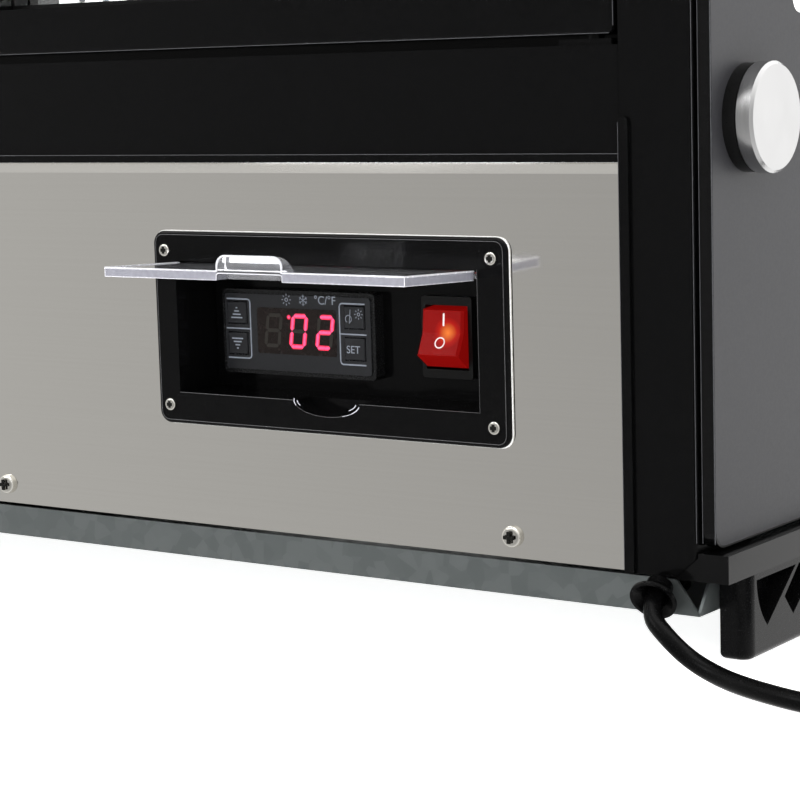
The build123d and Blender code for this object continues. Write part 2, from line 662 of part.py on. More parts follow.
def mains_lead():
    points = lead_route()
    radii = corner_radii(points)
    lead, length = tube(points, radii, CORD_D / 2)
    print("lead radii", [round(r, 1) for r in radii], "length", round(length, 1))
    print("lead volume", round(lead.volume), "section times length", round(pi * CORD_D ** 2 / 4 * length))
    lead -= coil_ring()
    tail_start, heading = plug_exit()
    tail = Plane(origin=tail_start, z_dir=heading) * Pos(0, 0, TAIL / 2) * Cylinder(CORD_D / 2, TAIL)
    tail -= coil_ring()
    return [max(piece.solids(), key=lambda s: s.volume) for piece in (lead, tail)]


def plug_exit():
    """Where the lead's last turn leaves the coil, and which way it heads."""
    angle = radians(PLUG_ANGLE)
    r = COIL_R[1] - CORD_D / 2
    place = Vector(COIL_CENTRE[0] + r * cos(angle), COIL_CENTRE[1] + r * sin(angle), PLUG_Z)
    return place, Vector(-sin(angle), cos(angle), 0)


def coil_ring():
    section = rounded(COIL_R, (0.0, COIL_H), 3.2)
    hoop = revolve(Plane.XZ * section, axis=Axis.Z)
    return Pos(*COIL_CENTRE, 0) * hoop


def coil_tie():
    """Strap round the coil's section, on the side away from the plug."""
    middle = sum(COIL_R) / 2
    half = (COIL_R[1] - COIL_R[0]) / 2
    band = rounded((middle - half - 0.9, middle + half + 0.9), (0.0, COIL_H + 0.9), 3.6)
    band -= rounded((middle - half, middle + half), (0.8, COIL_H), 3.0)
    return Pos(*COIL_CENTRE, 0) * Rot(0, 0, 215) * along_y(band, -5.0, 5.0)


def plug():
    """Round two-pin earthed plug with a ribbed boot."""
    place, heading = plug_exit()
    boot_length, body_length, pin_length = 30.0, 34.0, 19.0
    boot = Pos(0, 0, boot_length / 2) * Cone(5.2, 8.0, boot_length)
    for n in range(4):
        boot += Pos(0, 0, 6 + 6 * n) * Cylinder(6.4 + 0.55 * n, 2.2)
    body = Pos(0, 0, boot_length + body_length / 2) * Cylinder(17.6, body_length)
    body = fillet(body.edges().group_by(Axis.Z)[0], 9.0) + boot
    end = boot_length + body_length
    for side in (-1, 1):
        body += Pos(side * 9.5, 0, end + pin_length / 2) * Cylinder(2.4, pin_length)
        body -= Pos(0, side * 17.6, end - 10) * Box(8, 4.0, 22)
    return Plane(origin=place + heading * TAIL, x_dir=heading.cross(Vector(0, 0, 1)), z_dir=heading) * body


# ---- build --------------------------------------------------------------------------
def build():
    parts = {
        "base_pan": base_pan(),
        "rear_fascia": rear_fascia(),
        "front_apron": front_apron(),
        "front_ledge": front_ledge(),
        "rear_band": rear_band(),
        "deck": deck(),
        "door_surround": door_surround(),
        "ceiling_panel": ceiling_panel(),
        "top_cover": top_cover(),
        "front_glass": front_glass(),
        "shelf_lower": wire_shelf(SHELF_Z[0], SHELF_FRONT[0]),
        "shelf_upper": wire_shelf(SHELF_Z[1], SHELF_FRONT[1]),
        "shelf_uprights": joined(shelf_uprights()),
        "lamp_housing": lamp_housing(),
        "lamp_diffuser": lamp_diffuser(),
        "evaporator_cover": evaporator_cover(),
        "evaporator_coil": finned_coil((-280.0, 120.0), (190.0, 235.0), (232.0, 284.0), 41, 2, DECK_Z[1]),
        "compressor": compressor(),
        "condenser_coil": finned_coil((60.0, 240.0), (205.0, 240.0), (40.0, 165.0), 31, 5, FLOOR_TOP),
        "control_bezel": control_bezel(),
        "panel_screws": joined(panel_screws()),
        "control_lid": control_lid(),
        "controller_body": controller_body(),
        "controller_face": controller_face(),
        "rocker_frame": rocker_frame(),
        "rocker_paddle": rocker_paddle(),
        "cable_gland": cable_gland(),
        "mains_lead": joined(mains_lead()),
        "lead_tie": coil_tie(),
        "lead_coil": coil_ring() - coil_tie(),
        "plug": plug(),
    }
    handed = {"corner_post": corner_post(), "side_ledge": side_ledge(), "side_glass": side_glass(),
              "door_frame": door_frame(), "door_glass": door_glass(), "door_gasket": door_gasket(),
              "door_handle": door_handle(), "feet": joined([foot(y0) for y0 in FEET_Y.values()])}
    for name, shape in handed.items():
        parts[name + "_right"] = shape
        parts[name + "_left"] = other_hand(shape)
    paired = {"machine_sides": [machine_side()], "trim_strips": [trim_strip()], "door_hinges": door_hinges(),
              "standoff_washers": [standoff_washer(*k) for k in KNOBS],
              "standoff_caps": [standoff_cap(*k) for k in KNOBS]}
    for name, shapes in paired.items():
        parts[name] = joined(shapes + [other_hand(s) for s in shapes])
    parts["condenser_fan"] = fan(CONDENSER_FAN, 56.0, 16.0, 14.0)
    parts["condenser_fan_frame"] = fan_frame(CONDENSER_FAN, 58.0, (172.0, 202.0), FLOOR_TOP)
    parts["evaporator_fan"] = fan(EVAPORATOR_FAN, 25.0, 8.0, 8.0)
    parts["evaporator_fan_frame"] = fan_frame(EVAPORATOR_FAN, 26.0, (172.0, 190.0), DECK_Z[1])
    keys = {"key_down": (0, 0), "key_up": (0, 1), "key_set": (1, 0), "key_lamp": (1, 1)}
    for name, (column, row) in keys.items():
        parts[name] = key_cap(KEY_X[column], KEY_Z[row])
    return parts


os.makedirs("parts", exist_ok=True)
for node, solid in build().items():
    export_step(solid, "parts/" + node + ".step")
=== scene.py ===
"""Looks of a refrigerated countertop display cabinet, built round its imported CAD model."""
import json

from math import atan2, cos, pi, radians, sin

import bmesh
import bpy
from mathutils import Matrix, Vector


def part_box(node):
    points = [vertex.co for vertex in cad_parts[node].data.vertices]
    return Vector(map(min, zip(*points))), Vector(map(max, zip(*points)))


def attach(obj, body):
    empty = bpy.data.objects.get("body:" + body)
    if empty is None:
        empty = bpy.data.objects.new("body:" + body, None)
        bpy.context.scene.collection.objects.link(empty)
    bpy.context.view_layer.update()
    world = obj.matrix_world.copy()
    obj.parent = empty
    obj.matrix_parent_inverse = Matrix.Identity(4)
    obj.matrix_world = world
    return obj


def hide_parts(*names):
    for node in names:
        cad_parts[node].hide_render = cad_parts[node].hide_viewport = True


MM = 0.001

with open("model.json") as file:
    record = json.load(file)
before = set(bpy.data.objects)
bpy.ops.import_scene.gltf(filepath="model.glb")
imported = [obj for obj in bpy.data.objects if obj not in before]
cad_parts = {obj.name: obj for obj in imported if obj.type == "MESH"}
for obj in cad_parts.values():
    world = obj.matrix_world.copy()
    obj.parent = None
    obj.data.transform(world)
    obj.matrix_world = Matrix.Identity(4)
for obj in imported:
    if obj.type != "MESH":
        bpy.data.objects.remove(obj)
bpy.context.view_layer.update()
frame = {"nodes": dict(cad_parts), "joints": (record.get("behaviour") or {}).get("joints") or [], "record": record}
NODES = frame["nodes"]


# ---- placing ----------------------------------------------------------------------------
def span(node):
    """A node's lowest and highest corners in millimetres."""
    low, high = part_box(node)
    return low / MM, high / MM


def pin_of(joint_name):
    """Place of a joint's pin in millimetres."""
    joint = next(joint for joint in frame["joints"] if joint["name"] == joint_name)
    return Vector(joint["pos_m"]) / MM


def facing(u, v, origin):
    """Matrix for a flat drawing in millimetres: u and v are its axes, its face looks along u x v."""
    u, v = Vector(u).normalized(), Vector(v).normalized()
    w = u.cross(v)
    turn = Matrix((u, v, w)).transposed().to_4x4()
    return Matrix.Translation(Vector(origin) * MM) @ turn @ Matrix.Scale(MM, 4)


def rearward(y, x=0.0, z=0.0):
    """Drawing plane of the operator's side: u is X and v is Z, at a depth of y."""
    return facing((1, 0, 0), (0, 0, 1), (x, y, z))


# ---- building pieces ----------------------------------------------------------------------
def settle(name, meshes, body, material, smooth=False):
    """One object made of several meshes, riding on a body."""
    merged = bmesh.new()
    for mesh in meshes:
        merged.from_mesh(mesh)
    bmesh.ops.recalc_face_normals(merged, faces=merged.faces)
    data = bpy.data.meshes.new(name)
    merged.to_mesh(data)
    merged.free()
    for polygon in data.polygons:
        polygon.use_smooth = smooth
    data.materials.append(material)
    piece = bpy.data.objects.new(name, data)
    bpy.context.scene.collection.objects.link(piece)
    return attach(piece, body)


def mesh_of(curve, place):
    """A curve or text as a mesh, moved to its place."""
    holder = bpy.data.objects.new("holder", curve)
    bpy.context.scene.collection.objects.link(holder)
    bpy.context.view_layer.update()
    mesh = bpy.data.meshes.new_from_object(holder.evaluated_get(bpy.context.evaluated_depsgraph_get()))
    mesh.transform(place)
    bpy.data.objects.remove(holder)
    return mesh


def slab(loops, place, depth, edge=0.0):
    """Flat shape with holes, standing depth above its plane; all in millimetres."""
    curve = bpy.data.curves.new("slab", "CURVE")
    curve.dimensions = "2D"
    curve.fill_mode = "BOTH"
    curve.extrude = depth / 2 - edge
    curve.bevel_depth = edge
    curve.offset = -edge
    for loop in loops:
        spline = curve.splines.new("POLY")
        spline.points.add(len(loop) - 1)
        for point, (u, v) in zip(spline.points, loop):
            point.co = (u, v, 0, 1)
        spline.use_cyclic_u = True
    return mesh_of(curve, place @ Matrix.Translation((0, 0, depth / 2)))


def stroke(path, place, width, height=0.16, closed=False):
    """A rounded line on a surface."""
    curve = bpy.data.curves.new("stroke", "CURVE")
    curve.dimensions = "3D"
    curve.bevel_depth = width / 2
    curve.bevel_resolution = 3
    curve.use_fill_caps = True
    spline = curve.splines.new("POLY")
    spline.points.add(len(path) - 1)
    for point, (u, v) in zip(spline.points, path):
        point.co = (u, v, 0, 1)
    spline.use_cyclic_u = closed
    return mesh_of(curve, place @ Matrix.Scale(height / (width / 2), 4, (0, 0, 1)))


def bead(path, radius, closed=False):
    """A thin rod along points given in millimetres."""
    curve = bpy.data.curves.new("bead", "CURVE")
    curve.dimensions = "3D"
    curve.bevel_depth = radius
    curve.bevel_resolution = 2
    curve.use_fill_caps = True
    spline = curve.splines.new("POLY")
    spline.points.add(len(path) - 1)
    for point, place in zip(spline.points, path):
        point.co = (*place, 1)
    spline.use_cyclic_u = closed
    return mesh_of(curve, Matrix.Scale(MM, 4))


def lettering(text, size, place, depth=0.12):
    """Generic words and signs, centred on their place and standing depth proud."""
    curve = bpy.data.curves.new("text", "FONT")
    curve.body = text
    curve.size = size
    curve.align_x = "CENTER"
    curve.align_y = "CENTER"
    curve.extrude = depth / 2
    return mesh_of(curve, place)


def round_corners(corners, steps=7):
    """A closed outline from (u, v, radius) corners."""
    loop = []
    for before, here, after in zip(corners[-1:] + corners[:-1], corners, corners[1:] + corners[:1]):
        corner, r = Vector(here[:2]), here[2]
        if r == 0:
            loop.append(tuple(corner))
            continue
        start = corner + (Vector(before[:2]) - corner).normalized() * r
        end = corner + (Vector(after[:2]) - corner).normalized() * r
        for n in range(steps + 1):
            t = n / steps
            loop.append(tuple(start * (1 - t) ** 2 + corner * 2 * t * (1 - t) + end * t ** 2))
    return loop


def circle(u, v, r, steps=32):
    """A closed ring of points round (u, v)."""
    return [(u + r * cos(2 * pi * n / steps), v + r * sin(2 * pi * n / steps)) for n in range(steps)]


def bar(a, b, width):
    """Rectangle round the line from a to b."""
    a, b = Vector(a), Vector(b)
    along = (b - a).normalized()
    side = Vector((-along.y, along.x)) * width / 2
    return [tuple(p) for p in (a - side, b - side, b + side, a + side)]


# ---- materials ------------------------------------------------------------------------------
def new_material(name, colour, roughness, metallic=0.0, **sockets):
    """Principled material; keywords are socket names with underscores for spaces."""
    material = bpy.data.materials.new(name)
    material.use_nodes = True
    shader = material.node_tree.nodes["Principled BSDF"]
    shader.inputs["Base Color"].default_value = (*colour, 1)
    shader.inputs["Roughness"].default_value = roughness
    shader.inputs["Metallic"].default_value = metallic
    for socket, value in sockets.items():
        shader.inputs[socket.replace("_", " ")].default_value = value
    return material


def grain(material, scale, stretch=(1, 1, 1), tint=None, rough=None, bump=0.0, bump_size=0.0002,
          cells=False, detail=4.0):
    """Adds noise, or crystal cells, to a material's colour, roughness and height."""
    tree = material.node_tree
    nodes, links = tree.nodes, tree.links
    shader = nodes["Principled BSDF"]
    place = nodes.new("ShaderNodeTexCoord")
    mapping = nodes.new("ShaderNodeMapping")
    mapping.inputs["Scale"].default_value = stretch
    links.new(place.outputs["Object"], mapping.inputs["Vector"])
    if cells:
        pattern = nodes.new("ShaderNodeTexVoronoi")
        level = pattern.outputs["Color"]
    else:
        pattern = nodes.new("ShaderNodeTexNoise")
        pattern.inputs["Detail"].default_value = detail
        level = pattern.outputs["Fac"]
    pattern.inputs["Scale"].default_value = scale
    links.new(mapping.outputs["Vector"], pattern.inputs["Vector"])
    if tint:
        ramp = nodes.new("ShaderNodeValToRGB")
        ramp.color_ramp.elements[0].position = 0.3
        ramp.color_ramp.elements[1].position = 0.7
        ramp.color_ramp.elements[0].color = (*tint[0], 1)
        ramp.color_ramp.elements[1].color = (*tint[1], 1)
        links.new(level, ramp.inputs["Fac"])
        links.new(ramp.outputs["Color"], shader.inputs["Base Color"])
    if rough:
        spread = nodes.new("ShaderNodeMapRange")
        spread.inputs["From Min"].default_value = 0.3
        spread.inputs["From Max"].default_value = 0.7
        spread.inputs["To Min"].default_value = rough[0]
        spread.inputs["To Max"].default_value = rough[1]
        links.new(level, spread.inputs["Value"])
        links.new(spread.outputs["Result"], shader.inputs["Roughness"])
    if bump:
        height = nodes.new("ShaderNodeBump")
        height.inputs["Strength"].default_value = bump
        height.inputs["Distance"].default_value = bump_size
        links.new(level, height.inputs["Height"])
        links.new(height.outputs["Normal"], shader.inputs["Normal"])
    return material


def stainless():
    """Bright-rolled sheet with a faint horizontal grain."""
    sheet = new_material("stainless", (0.84, 0.82, 0.775), 0.09, 1.0)
    return grain(sheet, 1.0, stretch=(5, 5, 900), tint=((0.835, 0.815, 0.77), (0.85, 0.83, 0.785)),
                 rough=(0.082, 0.098), bump=0.012, bump_size=0.00004)


def galvanised():
    """Zinc-coated steel with spangles."""
    sheet = new_material("galvanised", (0.20, 0.22, 0.22), 0.42, 0.9)
    return grain(sheet, 170.0, tint=((0.185, 0.205, 0.205), (0.215, 0.235, 0.235)), rough=(0.38, 0.46),
                 cells=True)


def gloss_black(name, specular=0.11, roughness=0.13, peel=0.02):
    """Black coat or moulding with a faint orange-peel surface."""
    coat = new_material(name, (0.0018, 0.0018, 0.0019), roughness, Specular_IOR_Level=specular)
    return grain(coat, 420.0, tint=((0.0014, 0.0014, 0.0015), (0.0021, 0.0021, 0.0022)),
                 rough=(roughness * 0.85, roughness * 1.2), bump=peel, bump_size=0.0001)


def moulded(name, colour, roughness, scale=1800.0, bump=0.12, specular=0.5):
    """Moulded plastic or rubber with a fine grain."""
    plastic = new_material(name, colour, roughness, Specular_IOR_Level=specular)
    dark = tuple(c * 0.88 for c in colour)
    light = tuple(c * 1.12 for c in colour)
    return grain(plastic, scale, tint=(dark, light), rough=(roughness * 0.9, roughness * 1.12), bump=bump,
                 bump_size=0.0001)


def pane(name, colour=(0.965, 0.99, 0.98), roughness=0.0):
    """Float glass with a trace of dust in its gloss."""
    glass = new_material(name, colour, roughness, Transmission_Weight=1.0, IOR=1.5)
    return grain(glass, 3.0, rough=(roughness, roughness + 0.012))


def clear_moulding():
    """Clear acrylic with a light haze."""
    acrylic = new_material("clear_plastic", (0.80, 0.81, 0.85), 0.05, Transmission_Weight=0.94, IOR=1.49)
    return grain(acrylic, 60.0, rough=(0.03, 0.07))


def steel(name, colour, rough, stretch, bump=0.05):
    """Machined or drawn steel with its tool marks along one axis."""
    metal = new_material(name, colour, rough[0], 1.0)
    dark = tuple(c * 0.93 for c in colour)
    return grain(metal, 1.0, stretch=stretch, tint=(dark, colour), rough=rough, bump=bump, bump_size=0.00004)


def glowing(name, colour, strength, roughness=0.3):
    """Lit material, with a faint unevenness in its gloss."""
    lamp = new_material(name, colour, roughness, Emission_Strength=strength)
    lamp.node_tree.nodes["Principled BSDF"].inputs["Emission Color"].default_value = (*colour, 1)
    return grain(lamp, 900.0, rough=(roughness * 0.8, roughness * 1.2))


def rocker_red():
    """Red translucent rocker, brightest round the neon lamp behind its middle."""
    red = new_material("rocker_red", (0.090, 0.0018, 0.0016), 0.34, Specular_IOR_Level=0.06)
    tree = red.node_tree
    nodes, links = tree.nodes, tree.links
    shader = nodes["Principled BSDF"]
    place = nodes.new("ShaderNodeTexCoord")
    mapping = nodes.new("ShaderNodeMapping")
    low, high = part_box("rocker_paddle")
    lamp = ((low.x + high.x) / 2 + 0.0030, low.y + 0.0045, (low.z + high.z) / 2 + 0.0022)
    reach = (0.0065, 0.0110, 0.0062)
    mapping.inputs["Location"].default_value = [-c / r for c, r in zip(lamp, reach)]
    mapping.inputs["Scale"].default_value = [1 / r for r in reach]
    ball = nodes.new("ShaderNodeTexGradient")
    ball.gradient_type = "SPHERICAL"
    ramp = nodes.new("ShaderNodeValToRGB")
    stops = ramp.color_ramp.elements
    stops[0].color = (0.19, 0.0018, 0.0014, 1)
    stops[1].color = (1.0, 0.30, 0.05, 1)
    middle = stops.new(0.35)
    middle.color = (0.42, 0.010, 0.004, 1)
    links.new(place.outputs["Object"], mapping.inputs["Vector"])
    links.new(mapping.outputs["Vector"], ball.inputs["Vector"])
    links.new(ball.outputs["Fac"], ramp.inputs["Fac"])
    links.new(ramp.outputs["Color"], shader.inputs["Emission Color"])
    shader.inputs["Emission Strength"].default_value = 0.85
    return red


def slot_materials():
    """A material for each of the record's slots."""
    return {
        "stainless": stainless(),
        "galvanised": galvanised(),
        "black_coat": gloss_black("black_coat"),
        "black_sheet": gloss_black("black_sheet", specular=0.3, roughness=0.18, peel=0.05),
        "black_plastic": gloss_black("black_plastic"),
        "matte_black": moulded("matte_black", (0.004, 0.004, 0.004), 0.30, specular=0.2),
        "insulated_panel": moulded("insulated_panel", (0.80, 0.80, 0.79), 0.32, scale=250.0, bump=0.05),
        "clear_glass": pane("clear_glass"),
        "gasket_rubber": moulded("gasket_rubber", (0.006, 0.006, 0.006), 0.55, specular=0.2),
        "foot_rubber": moulded("foot_rubber", (0.0024, 0.0024, 0.0026), 0.26, specular=0.16, bump=0.05),
        "chromed_wire": steel("chromed_wire", (0.78, 0.78, 0.80), (0.06, 0.12), (300, 300, 300)),
        "lamp_aluminium": steel("lamp_aluminium", (0.72, 0.72, 0.73), (0.25, 0.38), (8, 900, 900)),
        "lamp_cover": glowing("lamp_cover", (0.93, 0.96, 1.0), 2.5),
        "fan_plastic": moulded("fan_plastic", (0.02, 0.02, 0.021), 0.45),
        "coil_fins": steel("coil_fins", (0.62, 0.63, 0.65), (0.22, 0.36), (40, 700, 40)),
        "compressor_paint": gloss_black("compressor_paint", specular=0.5, roughness=0.35, peel=0.2),
        "clear_plastic": clear_moulding(),
        "controller_case": moulded("controller_case", (0.006, 0.0062, 0.0065), 0.26, specular=0.2),
        "controller_label": moulded("controller_label", (0.0125, 0.013, 0.0145), 0.24, bump=0.05,
                                    specular=0.25),
        "rocker_red": rocker_red(),
        "screw_steel": steel("screw_steel", (0.86, 0.84, 0.78), (0.14, 0.24), (300, 300, 300), bump=0.04),
        "knob_steel": steel("knob_steel", (0.64, 0.64, 0.645), (0.17, 0.26), (900, 60, 60)),
        "lead_pvc": moulded("lead_pvc", (0.0016, 0.0016, 0.0017), 0.26, specular=0.07),
        "plug_plastic": moulded("plug_plastic", (0.0035, 0.0035, 0.0037), 0.28, specular=0.2),
    }


def dress_nodes(materials):
    """Gives every CAD node its slot's material, and the ledges their shinier coat."""
    for row in frame["record"]["subparts"]:
        node = NODES[row["node"]]
        node.data.materials.clear()
        node.data.materials.append(materials[row["material_slot"]])
    for name in ("side_ledge_left", "side_ledge_right", "front_ledge"):
        NODES[name].data.materials[0] = gloss_black("ledge_coat", specular=0.21, roughness=0.14)
    for name, node in NODES.items():
        if "glass" in name or name == "control_lid":
            node.visible_shadow = False


# ---- glass print ------------------------------------------------------------------------------
BEND_R = 210.0
PRINT_REAR = 65.0          # width of the black print behind the doors' posts
PRINT_BOTTOM = 191.0
PRINT_CURVE = 13.0
PRINT_TOP = 30.0


def glass_outline(inset):
    """Outline of the side glass, drawn in by inset."""
    low, high = span("side_glass_right")
    y, z = high.y - BEND_R, high.z - BEND_R
    rear, bottom, top, front = low.y + inset, low.z + inset, high.z - inset, high.y - inset
    r = BEND_R - inset
    turns = 24
    corners = [(y, top, 0), (rear, top, 8), (rear, bottom, 8), (front, bottom, 8), (front, z, 0)]
    bend = [(y + r * cos(pi / 2 * n / turns), z + r * sin(pi / 2 * n / turns)) for n in range(1, turns)]
    return round_corners(corners) + bend


def print_window():
    """Outline of the clear window in the print: it follows the glass's bend at its front."""
    low, high = span("side_glass_right")
    y, z = high.y - BEND_R, high.z - BEND_R
    top = high.z - PRINT_TOP
    r = BEND_R - PRINT_CURVE
    stop = atan2(top - z, (r ** 2 - (top - z) ** 2) ** 0.5)
    turns = 24
    arc = [(y + r * cos(stop * n / turns), z + r * sin(stop * n / turns), 0) for n in range(turns)]
    corner = (y + r * cos(stop), top, 9)
    bottom, rear = low.z + PRINT_BOTTOM, low.y + PRINT_REAR
    return round_corners([(rear, top, 7), (rear, bottom, 7), (y + r, bottom, 7)] + arc + [corner])


def side_glass_print():
    """Satin print with a clear window on the outer face of each side glass, and black edges."""
    satin = moulded("glass_print", (0.024, 0.024, 0.027), 0.46, scale=900.0, bump=0.0, specular=0.34)
    black = gloss_black("glass_edge", specular=0.2, roughness=0.2)
    low, high = span("side_glass_right")
    washer_r = 19.0
    loops = [glass_outline(0.5), print_window()] + [circle(*place, washer_r) for place in knob_places()]
    rim = [glass_outline(-0.15), glass_outline(0.5)]
    for side, name in ((1, "right"), (-1, "left")):
        outer = facing((0, side, 0), (0, 0, 1), (side * high.x, 0, 0))
        inner = facing((0, side, 0), (0, 0, 1), (side * (low.x - 0.05), 0, 0))
        face = [[(u * side, v) for u, v in loop] for loop in loops]
        edge = [[(u * side, v) for u, v in loop] for loop in rim]
        settle("glass_print_" + name, [slab(face, outer, 0.08)], "cabinet", satin)
        settle("glass_edge_" + name, [slab(edge, inner, high.x - low.x + 0.1)], "cabinet", black)


def knob_places():
    """Y and Z of the standoffs: three from corners of their caps' box, drawn in by a cap's radius, and the fourth
    at a given Y on the top row.
    """
    low, high = span("standoff_caps")
    r = 20.0
    rear, front = low.y + r, high.y - r
    bottom, top = low.z + r, high.z - r
    return [(rear, bottom), (rear, top), (front, bottom), (29.0, top)]


# ---- control panel ------------------------------------------------------------------------------
INK = (0.17, 0.19, 0.225)
WINDOW_PLACE = (16.8, 7.0)          # from the controller's left and bottom edges
WINDOW_SIZE = (40.6, 19.0)
DIGIT_PLACES = (3.3, 16.3, 29.7)    # from the window's left edge
DIGIT_RISE = 2.6                    # from the window's bottom edge
DIGIT_W = 8.4
DIGIT_H = 14.2
DIGIT_SLANT = 0.134
UNLIT_WIDTH = 1.5
GLOW_WIDTH = 2.0
CORE_WIDTH = 1.1
SEGMENTS = {"a": ((0, 1), (1, 1)), "b": ((1, 1), (1, 0.5)), "c": ((1, 0.5), (1, 0)), "d": ((0, 0), (1, 0)),
            "e": ((0, 0.5), (0, 0)), "f": ((0, 1), (0, 0.5)), "g": ((0, 0.5), (1, 0.5))}


def segment(name, x0, z0, width):
    """One bar of a seven-segment digit, pointed at both ends and leaning with the digit."""
    inset = 0.8
    (ua, va), (ub, vb) = SEGMENTS[name]
    a = Vector((inset + ua * (DIGIT_W - 2 * inset), inset + va * (DIGIT_H - 2 * inset)))
    b = Vector((inset + ub * (DIGIT_W - 2 * inset), inset + vb * (DIGIT_H - 2 * inset)))
    along = (b - a).normalized()
    side = Vector((-along.y, along.x)) * width / 2
    tip = width * 0.42
    gap = 0.22
    a, b = a + along * gap, b - along * gap
    near, far = a + along * tip, b - along * tip
    points = (a, near - side, far - side, b, far + side, near + side)
    return [(x0 + p.x + DIGIT_SLANT * p.y, z0 + p.y) for p in points]


def display(face_y):
    """Dark window with three digits: the first is unlit, and the others show 0 and 2."""
    low, high = span("controller_face")
    left, bottom = low.x + WINDOW_PLACE[0], low.z + WINDOW_PLACE[1]
    right, top = left + WINDOW_SIZE[0], bottom + WINDOW_SIZE[1]
    window = round_corners([(left, bottom, 1), (right, bottom, 1), (right, top, 1), (left, top, 1)], 4)
    smoked = new_material("display_window", (0.008, 0.0055, 0.005), 0.10, Specular_IOR_Level=0.2)
    grain(smoked, 700.0, tint=((0.007, 0.0048, 0.0042), (0.009, 0.0064, 0.0058)), rough=(0.08, 0.14))
    settle("display_window", [slab([window], rearward(face_y), 0.12)], "cabinet", smoked)
    plane = rearward(face_y - 0.12)
    z0 = bottom + DIGIT_RISE
    cells = [left + place for place in DIGIT_PLACES]
    unlit = [segment(s, cell, z0, UNLIT_WIDTH)
             for cell, dark in zip(cells, ("abcdefg", "g", "cf")) for s in dark]
    off = moulded("display_unlit", (0.019, 0.017, 0.014), 0.4, specular=0.2)
    settle("display_unlit", [slab(unlit, plane, 0.05)], "cabinet", off)
    lit = [(s, cell) for cell, bright in zip(cells[1:], ("abcdef", "abdeg")) for s in bright]
    dot = (cells[1] + 0.3, z0 + DIGIT_H - 1.4)
    glow = [segment(s, x, z0, GLOW_WIDTH) for s, x in lit] + [circle(*dot, 0.95, 16)]
    core = [segment(s, x, z0, CORE_WIDTH) for s, x in lit] + [circle(*dot, 0.5, 16)]
    red = glowing("digit_red", (0.50, 0.003, 0.030), 0.75)
    settle("display_glow", [slab(glow, plane, 0.06)], "cabinet", red)
    pink = glowing("digit_core", (0.86, 0.045, 0.150), 0.78)
    settle("display_lit", [slab(core, plane, 0.11)], "cabinet", pink)


def sun(u, v, r):
    """Outlines of a ring with eight rays."""
    rays = [bar((u + r * 0.68 * cos(a), v + r * 0.68 * sin(a)), (u + r * cos(a), v + r * sin(a)), r * 0.14)
            for a in (2 * pi * n / 8 for n in range(8))]
    return [circle(u, v, r * 0.36, 16), circle(u, v, r * 0.22, 16)] + rays


def snowflake(u, v, r, place):
    """Strokes of a six-armed flake, each arm with a pair of barbs."""
    arms = []
    for n in range(3):
        a = pi * n / 3 + pi / 6
        ends = [(u - r * cos(a), v - r * sin(a)), (u + r * cos(a), v + r * sin(a))]
        arms.append(stroke(ends, place, 0.32))
        for side in (-1, 1):
            tip = (u + side * r * 0.62 * cos(a), v + side * r * 0.62 * sin(a))
            for turn in (-pi / 3, pi / 3):
                end = (tip[0] + side * r * 0.34 * cos(a + turn), tip[1] + side * r * 0.34 * sin(a + turn))
                arms.append(stroke([tip, end], place, 0.24))
    return arms


def bracket(x_open, x_back, z, place):
    """Outline round a pair of keys, open on one side, with a line between them."""
    turn = 1.3 if x_back > x_open else -1.3
    path = [(x_open, z[1]), (x_back - turn, z[1]), (x_back - turn * 0.3, z[1] - 0.4), (x_back, z[1] - 1.3),
            (x_back, z[0] + 1.3), (x_back - turn * 0.3, z[0] + 0.4), (x_back - turn, z[0]), (x_open, z[0])]
    middle = sum(z) / 2
    divider = [(x_open - turn * 0.4, middle), (x_back, middle)]
    return [stroke(path, place, 0.62), stroke(divider, place, 0.55)]


SYMBOL_Z = 126.3
SUN_X = 146.6
FLAKE_X = 155.2
DEGREES_X = 166.2


def controller_print(ink, face_y):
    """Brackets round the keys, and the symbols over the display."""
    plane = rearward(face_y)
    low, high = span("controller_face")
    marks = bracket(low.x + 1.0, low.x + 13.2, (101.3, 125.9), plane)
    marks += bracket(high.x - 2.6, high.x - 15.3, (101.0, 125.7), plane)
    marks.append(slab(sun(SUN_X, SYMBOL_Z, 2.4), plane, 0.10))
    marks += snowflake(FLAKE_X, SYMBOL_Z, 2.3, plane)
    marks.append(lettering("°C/°F", 4.9, rearward(face_y, DEGREES_X, SYMBOL_Z + 0.1)))
    settle("controller_marks", marks, "cabinet", ink)


def key_top(node):
    """Depth of a key's printed face, and the X and Z of its middle."""
    low, high = span(node)
    return low.y - 0.02, (low.x + high.x) / 2, (low.z + high.z) / 2


def arrow_prints(ink):
    """Arrows made of four bars, pointing up on one key and down on the other."""
    widths = (0.9, 2.4, 4.1, 5.8)
    for node, body, way in (("key_up", "up_key", 1), ("key_down", "down_key", -1)):
        y, x, z = key_top(node)
        rows = [z + way * (2.0 - 1.35 * n) for n in range(len(widths))]
        bars = [bar((x - w / 2, row), (x + w / 2, row), 0.55) for w, row in zip(widths, rows)]
        settle(node + "_mark", [slab(bars, rearward(y), 0.10)], body, ink)


def lamp_print(ink):
    """A lamp's open ring, its stem and the light's rays."""
    y, x, z = key_top("key_lamp")
    plane = rearward(y)
    turns = [radians(-60 + 300 * n / 14) for n in range(15)]
    ring = [(x - 2.6 + 1.5 * cos(a), z - 0.6 + 1.5 * sin(a)) for a in turns]
    stem = [(x - 2.2, z - 2.4), (x - 1.6, z + 3.2)]
    marks = [stroke(ring, plane, 0.3), stroke(stem, plane, 0.3)]
    marks.append(slab(sun(x + 2.5, z + 1.4, 2.1), plane, 0.10))
    settle("key_lamp_mark", marks, "lamp_key", ink)


def key_prints(ink):
    """Arrows, the word and the lamp on the four keys."""
    arrow_prints(ink)
    y, x, z = key_top("key_set")
    word = lettering("SET", 4.4, rearward(y, x - 0.6, z - 0.3))
    settle("key_set_mark", [word], "set_key", ink)
    lamp_print(ink)


